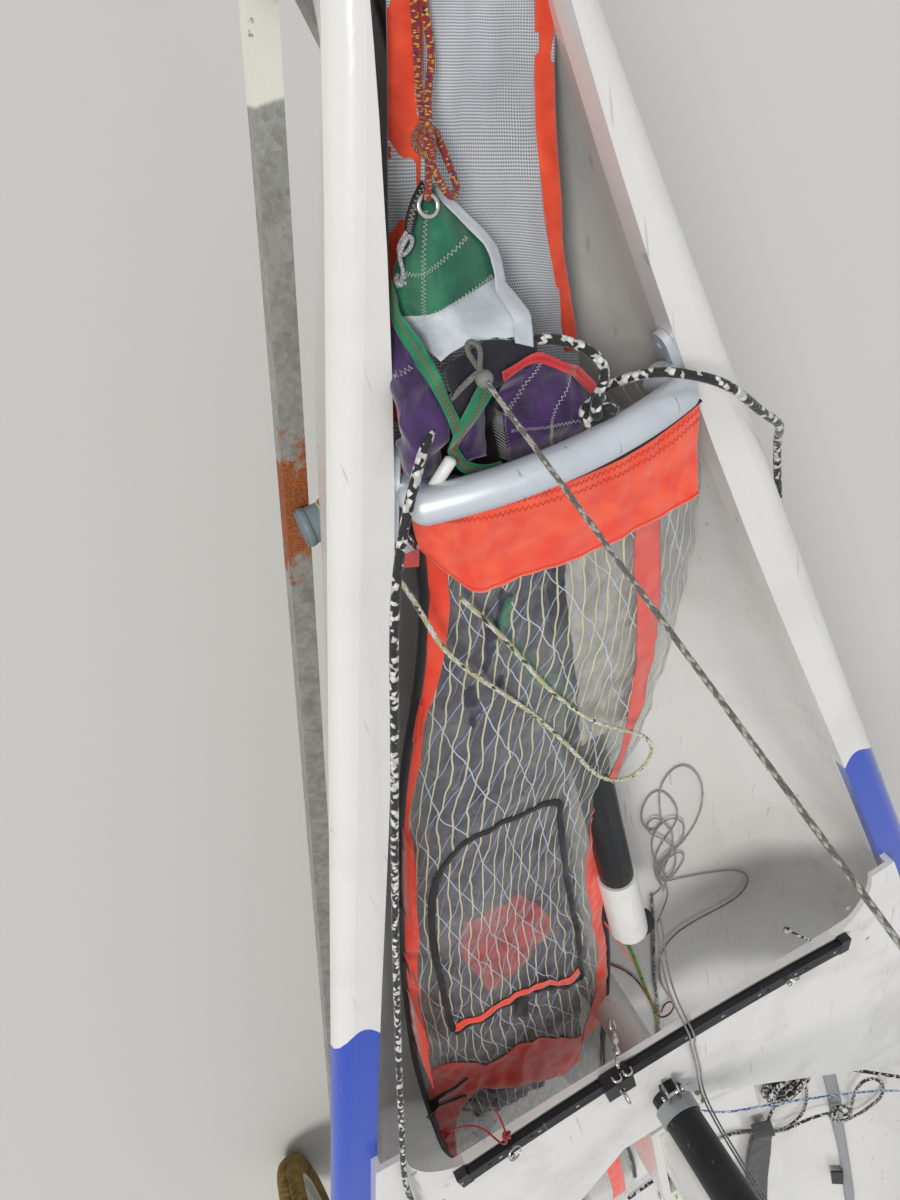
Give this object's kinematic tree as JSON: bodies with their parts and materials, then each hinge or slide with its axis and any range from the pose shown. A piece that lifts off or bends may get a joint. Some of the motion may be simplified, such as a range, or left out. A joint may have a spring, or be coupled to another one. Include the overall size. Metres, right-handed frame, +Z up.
{
  "type": "two-person skiff sailing dinghy on a launching trolley",
  "caption": "Skiff sailing dinghy with its mast up, spinnaker stowed in a bow chute, self-tacking jib track, raised foils, on a two-wheeled galvanised launching trolley.",
  "frame": {"origin": "on the floor, on the centreline, midway between the bowsprit's tip and the raised rudder blade's tip", "axes": "+X towards the bow, +Y to port, +Z up along the mast"},
  "size_m": [6.1705, 1.726, 7.01],
  "materials": {
    "gelcoat_white": "white gelcoat, blue bands on the gunwales",
    "spar_black": "black anodised tube",
    "plastic_white": "white plastic",
    "foil_white": "white painted foil",
    "track_black": "black anodised aluminium",
    "plastic_black": "black moulded plastic",
    "plastic_grey": "grey moulded plastic",
    "stainless": "polished stainless steel",
    "alloy": "clear anodised aluminium",
    "halyard_grey": "grey braided line",
    "mesh_white": "coated open mesh with orange edges",
    "sock_clear": "clear laminate scrim with orange bands",
    "nylon_green": "spinnaker nylon, green and purple",
    "galvanised": "galvanised steel, rusty at the welds",
    "sleeve_grey": "grey plastic pipe sleeve",
    "rubber_black": "moulded rubber",
    "tyre": "dusty rubber",
    "flap_orange": "coated orange cloth",
    "sheet_rope": "black and white braided sheet",
    "retrieval_rope": "yellow and white braided line",
    "rim_plastic": "moulded rim"
  },
  "bodies": {
    "boat": {"axle_beam": "galvanised", "board_case": "gelcoat_white", "bow_chock": "rubber_black", "bow_crossbar": "sleeve_grey", "bow_plate": "stainless", "bowsprit": "spar_black", "bowsprit_sleeve": "plastic_white", "chainplates": "stainless", "chute_flap": "flap_orange", "chute_hoop": "alloy", "chute_sock": "sock_clear", "cord_retrieval": "retrieval_rope", "cord_sheet_port": "sheet_rope", "cord_sheet_starboard": "sheet_rope", "cradle_bar": "galvanised", "cradle_chocks": "rubber_black", "deck_port": "gelcoat_white", "deck_starboard": "gelcoat_white", "drawbar": "galvanised", "forestay": "stainless", "front_foot": "galvanised", "gooseneck": "stainless", "hull_bottom": "gelcoat_white", "jib_track": "track_black", "launch_mesh": "mesh_white", "mast_collar": "plastic_grey", "mast_lower": "spar_black", "mast_post": "gelcoat_white", "mast_step": "plastic_black", "mast_top": "spar_black", "masthead_crane": "alloy", "rudder_bracket": "stainless", "sheet_coil_port": "sheet_rope", "sheet_coil_starboard": "sheet_rope", "shroud_port": "stainless", "shroud_starboard": "stainless", "spinnaker": "nylon_green", "spreaders": "alloy", "thwart": "gelcoat_white", "track_caps": "track_black", "trolley_leg_port": "galvanised", "trolley_leg_starboard": "galvanised"},
    "boom": {"boom_fork": "alloy", "boom": "spar_black", "boom_halyard": "halyard_grey"},
    "rudder": {"rudder_stock": "alloy", "tiller": "spar_black"},
    "blade": {"rudder_blade": "foil_white"},
    "extension": {"tiller_extension": "spar_black"},
    "board": {"centreboard": "foil_white"},
    "car": {"jib_car": "plastic_black", "jib_shackle": "stainless"},
    "wheel_port": {"tyre_port": "tyre", "rim_port": "rim_plastic"},
    "wheel_starboard": {"tyre_starboard": "tyre", "rim_starboard": "rim_plastic"}
  },
  "joints": [
    {"name": "wheel_port_spin", "type": "hinge", "parent": "boat", "child": "wheel_port", "pos_m": [-0.665, 0.82, 0.19], "axis": [0, 1, 0], "continuous": true},
    {"name": "wheel_starboard_spin", "type": "hinge", "parent": "boat", "child": "wheel_starboard", "pos_m": [-0.665, -0.82, 0.19], "axis": [0, 1, 0], "continuous": true},
    {"name": "boom_swing", "type": "hinge", "parent": "boat", "child": "boom", "pos_m": [0.423, 0, 1.42], "axis": [0, 0, 1], "range_deg": [-55, 55]},
    {"name": "rudder_steer", "type": "hinge", "parent": "boat", "child": "rudder", "pos_m": [-2.261, 0, 0.5], "axis": [0, 0, 1], "range_deg": [-40, 40]},
    {"name": "blade_lift", "type": "hinge", "parent": "rudder", "child": "blade", "pos_m": [-2.345, 0, 0.47], "axis": [0, 1, 0], "range_deg": [-90, 0]},
    {"name": "extension_swing", "type": "hinge", "parent": "rudder", "child": "extension", "pos_m": [-1.355, 0, 0.849], "axis": [0, 0, 1], "range_deg": [-75, 75]},
    {"name": "board_lift", "type": "slide", "parent": "boat", "child": "board", "axis": [0, 0, 1], "range_m": [-0.9, 0]},
    {"name": "jib_car_slide", "type": "hinge", "parent": "boat", "child": "car", "pos_m": [-1.986, 0, 0.79], "axis": [0, 0, 1], "range_deg": [-8.2, 4.7]}
  ]
}
